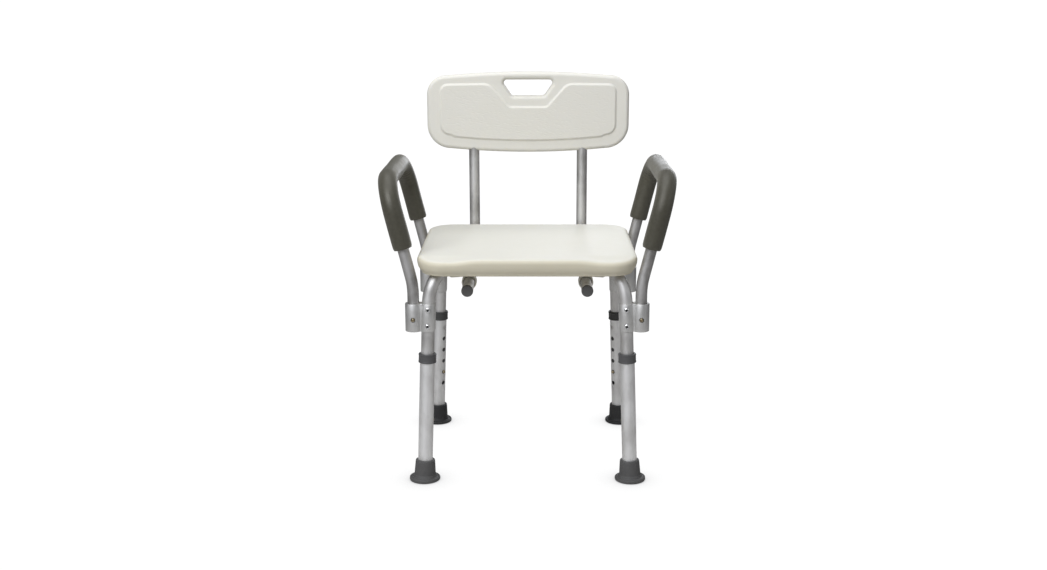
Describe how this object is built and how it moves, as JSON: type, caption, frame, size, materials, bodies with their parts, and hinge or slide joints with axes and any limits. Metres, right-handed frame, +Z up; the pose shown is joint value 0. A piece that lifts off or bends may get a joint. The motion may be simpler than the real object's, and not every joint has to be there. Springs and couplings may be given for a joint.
{
  "type": "shower chair",
  "caption": "Shower chair with a moulded seat, a moulded backrest with a hand hole, lift-off padded arms and height-adjustable splayed legs.",
  "frame": {"origin": "on the floor, in the middle of the chair's box", "axes": "+Z up, +Y towards the backrest, +X towards the right-hand side of the pictured front view"},
  "size_m": [0.568, 0.4242, 0.7665],
  "materials": {
    "ivory_plastic": "moulded polyethylene, fine satin grain, warm ivory",
    "tube_aluminium": "satin clear-anodised tube",
    "bracket_aluminium": "extruded, tumbled satin",
    "grip_foam": "closed-cell foam sleeve, matte, dark grey-brown",
    "collar_plastic": "moulded dark grey nylon, satin",
    "foot_rubber": "moulded grey rubber, matte",
    "button_brass": "polished, lightly dulled",
    "fasteners": "zinc plated"
  },
  "bodies": {
    "chair_frame": {"seat": "ivory_plastic", "frame_tube_lower": "tube_aluminium", "frame_tube_upper": "tube_aluminium", "cross_bolt": "fasteners", "cross_nut": "fasteners", "seat_screw_fl": "fasteners", "arm_bracket_fl": "bracket_aluminium", "rivet_fl_1": "fasteners", "rivet_fl_2": "fasteners", "seat_screw_fr": "fasteners", "arm_bracket_fr": "bracket_aluminium", "rivet_fr_1": "fasteners", "rivet_fr_2": "fasteners", "seat_screw_rl": "fasteners", "arm_bracket_rl": "bracket_aluminium", "rivet_rl_1": "fasteners", "rivet_rl_2": "fasteners", "seat_screw_rr": "fasteners", "arm_bracket_rr": "bracket_aluminium", "rivet_rr_1": "fasteners", "rivet_rr_2": "fasteners"},
    "leg_fl": {"leg_extension_fl": "tube_aluminium", "leg_collar_fl": "collar_plastic", "foot_fl": "foot_rubber"},
    "leg_button_fl": {"leg_snap_fl": "button_brass"},
    "leg_fr": {"leg_extension_fr": "tube_aluminium", "leg_collar_fr": "collar_plastic", "foot_fr": "foot_rubber"},
    "leg_button_fr": {"leg_snap_fr": "button_brass"},
    "leg_rl": {"leg_extension_rl": "tube_aluminium", "leg_collar_rl": "collar_plastic", "foot_rl": "foot_rubber"},
    "leg_button_rl": {"leg_snap_rl": "button_brass"},
    "leg_rr": {"leg_extension_rr": "tube_aluminium", "leg_collar_rr": "collar_plastic", "foot_rr": "foot_rubber"},
    "leg_button_rr": {"leg_snap_rr": "button_brass"},
    "arm_left": {"arm_tube_left": "tube_aluminium", "arm_grip_left": "grip_foam"},
    "arm_button_fl": {"arm_snap_fl": "button_brass"},
    "arm_button_rl": {"arm_snap_rl": "button_brass"},
    "arm_right": {"arm_tube_right": "tube_aluminium", "arm_grip_right": "grip_foam"},
    "arm_button_fr": {"arm_snap_fr": "button_brass"},
    "arm_button_rr": {"arm_snap_rr": "button_brass"},
    "back": {"backrest": "ivory_plastic", "back_tube_left": "tube_aluminium", "back_plug_left": "collar_plastic", "back_bolt_left_1": "fasteners", "back_bolt_left_2": "fasteners", "back_tube_right": "tube_aluminium", "back_plug_right": "collar_plastic", "back_bolt_right_1": "fasteners", "back_bolt_right_2": "fasteners"},
    "back_button_left": {"back_snap_left": "button_brass"},
    "back_button_right": {"back_snap_right": "button_brass"}
  },
  "joints": [
    {"name": "leg_height_fl", "type": "slide", "parent": "chair_frame", "child": "leg_fl", "axis": [-0.036, -0.031, -0.9989], "range_m": [-0.0254, 0.1016], "deforming": ["leg_snap_fl"]},
    {"name": "leg_button_press_fl", "type": "slide", "parent": "chair_frame", "child": "leg_button_fl", "axis": [-0.7571, -0.6516, 0.0474], "range_m": [0, 0.0045], "stiffness_N_per_m": 1000},
    {"name": "leg_height_fr", "type": "slide", "parent": "chair_frame", "child": "leg_fr", "axis": [0.036, -0.031, -0.9989], "range_m": [-0.0254, 0.1016], "deforming": ["leg_snap_fr"]},
    {"name": "leg_button_press_fr", "type": "slide", "parent": "chair_frame", "child": "leg_button_fr", "axis": [0.7571, -0.6516, 0.0474], "range_m": [0, 0.0045], "stiffness_N_per_m": 1000},
    {"name": "leg_height_rl", "type": "slide", "parent": "chair_frame", "child": "leg_rl", "axis": [-0.036, 0.031, -0.9989], "range_m": [-0.0254, 0.1016], "deforming": ["leg_snap_rl"]},
    {"name": "leg_button_press_rl", "type": "slide", "parent": "chair_frame", "child": "leg_button_rl", "axis": [-0.7571, 0.6516, 0.0474], "range_m": [0, 0.0045], "stiffness_N_per_m": 1000},
    {"name": "leg_height_rr", "type": "slide", "parent": "chair_frame", "child": "leg_rr", "axis": [0.036, 0.031, -0.9989], "range_m": [-0.0254, 0.1016], "deforming": ["leg_snap_rr"]},
    {"name": "leg_button_press_rr", "type": "slide", "parent": "chair_frame", "child": "leg_button_rr", "axis": [0.7571, 0.6516, 0.0474], "range_m": [0, 0.0045], "stiffness_N_per_m": 1000},
    {"name": "arm_lift_left", "type": "slide", "parent": "chair_frame", "child": "arm_left", "axis": [0, 0, 1], "range_m": [0, 0.045], "deforming": ["arm_snap_fl", "arm_snap_rl"]},
    {"name": "arm_button_press_fl", "type": "slide", "parent": "arm_left", "child": "arm_button_fl", "axis": [0, 1, 0], "range_m": [0, 0.0045], "stiffness_N_per_m": 1000},
    {"name": "arm_button_press_rl", "type": "slide", "parent": "arm_left", "child": "arm_button_rl", "axis": [0, -1, 0], "range_m": [0, 0.0045], "stiffness_N_per_m": 1000},
    {"name": "arm_lift_right", "type": "slide", "parent": "chair_frame", "child": "arm_right", "axis": [0, 0, 1], "range_m": [0, 0.045], "deforming": ["arm_snap_fr", "arm_snap_rr"]},
    {"name": "arm_button_press_fr", "type": "slide", "parent": "arm_right", "child": "arm_button_fr", "axis": [0, 1, 0], "range_m": [0, 0.0045], "stiffness_N_per_m": 1000},
    {"name": "arm_button_press_rr", "type": "slide", "parent": "arm_right", "child": "arm_button_rr", "axis": [0, -1, 0], "range_m": [0, 0.0045], "stiffness_N_per_m": 1000},
    {"name": "back_pull_out", "type": "slide", "parent": "chair_frame", "child": "back", "axis": [0, 1, 0], "range_m": [0, 0.27], "deforming": ["back_snap_left", "back_snap_right"]},
    {"name": "back_button_press_left", "type": "slide", "parent": "back", "child": "back_button_left", "axis": [0, 0, 1], "range_m": [0, 0.0045], "stiffness_N_per_m": 1000},
    {"name": "back_button_press_right", "type": "slide", "parent": "back", "child": "back_button_right", "axis": [0, 0, 1], "range_m": [0, 0.0045], "stiffness_N_per_m": 1000}
  ]
}
